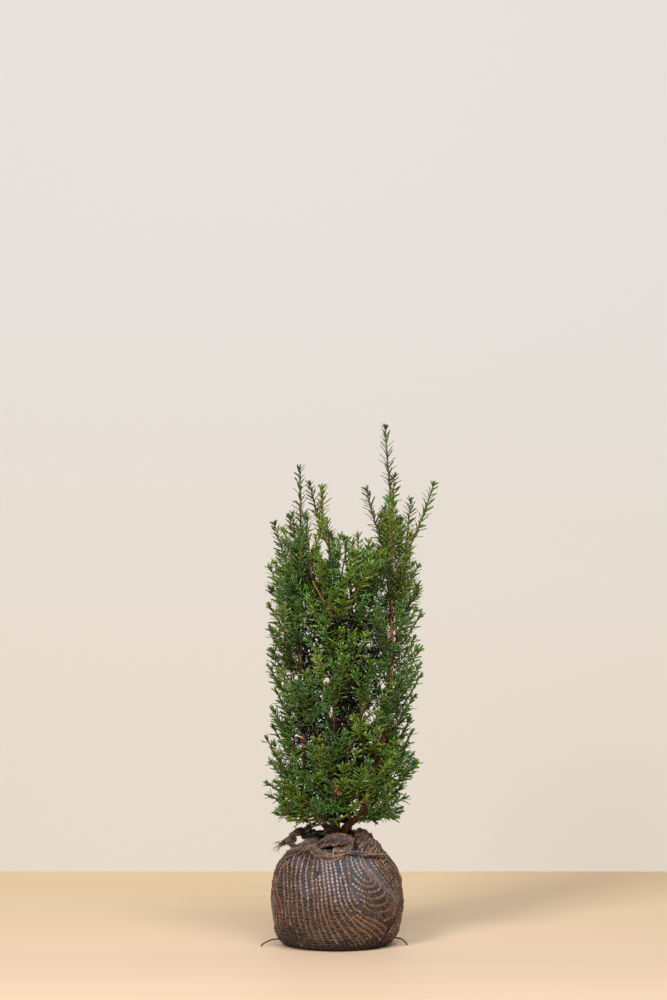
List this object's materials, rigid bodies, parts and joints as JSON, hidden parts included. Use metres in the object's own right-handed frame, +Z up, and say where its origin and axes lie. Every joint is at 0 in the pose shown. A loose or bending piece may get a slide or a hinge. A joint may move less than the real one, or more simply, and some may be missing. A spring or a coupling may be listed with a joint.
{
  "type": "yew sapling with wrapped root ball",
  "caption": "Young bushy yew with upright stems rising from a short trunk, needle foliage on all sides, standing on a root ball wrapped in knitted hessian.",
  "frame": {"origin": "centre of the flat underside of the root ball, which is level with the surface that it stands on", "axes": "+Z up along the stems, +X to the right as the picture shows the plant, -Y towards the viewer"},
  "size_m": [0.3012, 0.2424, 0.8834],
  "materials": {
    "hessian": "matte",
    "wire": "matte",
    "bark": "matte",
    "needles": "satin",
    "young_needles": "satin"
  },
  "bodies": {
    "root": {"root_ball": "hessian", "hessian_fold_right": "hessian", "hessian_knot_front": "hessian", "hessian_lip_front": "hessian", "hessian_ear_left": "hessian", "hessian_roll_back": "hessian", "wire_end_left": "wire", "wire_end_right": "wire", "trunk": "bark", "stem_right": "bark", "stem_left": "bark", "stem_centre": "bark", "stem_front": "bark", "stem_back": "bark", "bough_upper_right": "bark", "bough_front_right": "bark", "bough_back_right": "bark", "bough_back_left": "bark", "leader_top": "young_needles", "leader_inner_right": "young_needles", "leader_outer_right": "young_needles", "leader_middle_right": "young_needles", "leader_low_right": "young_needles", "leader_top_left": "young_needles", "leader_outer_left": "young_needles", "leader_rear_left": "young_needles", "leader_inner_left": "young_needles", "leader_low_left": "young_needles", "leader_front_left": "young_needles", "leader_middle": "young_needles", "leader_rear_middle": "young_needles", "leader_front_middle": "young_needles", "leader_centre": "young_needles", "leader_rear_right": "young_needles", "foliage_01": "needles", "foliage_02": "needles", "foliage_03": "needles", "foliage_04": "needles", "foliage_05": "needles", "foliage_06": "needles", "foliage_07": "needles", "foliage_08": "needles", "foliage_09": "needles", "foliage_10": "needles", "foliage_11": "needles", "foliage_12": "needles", "foliage_13": "needles", "foliage_14": "needles", "foliage_15": "needles", "foliage_16": "needles", "foliage_17": "needles", "foliage_18": "needles", "foliage_19": "needles", "foliage_20": "needles", "foliage_21": "needles", "foliage_22": "needles", "foliage_23": "needles"}
  },
  "joints": []
}
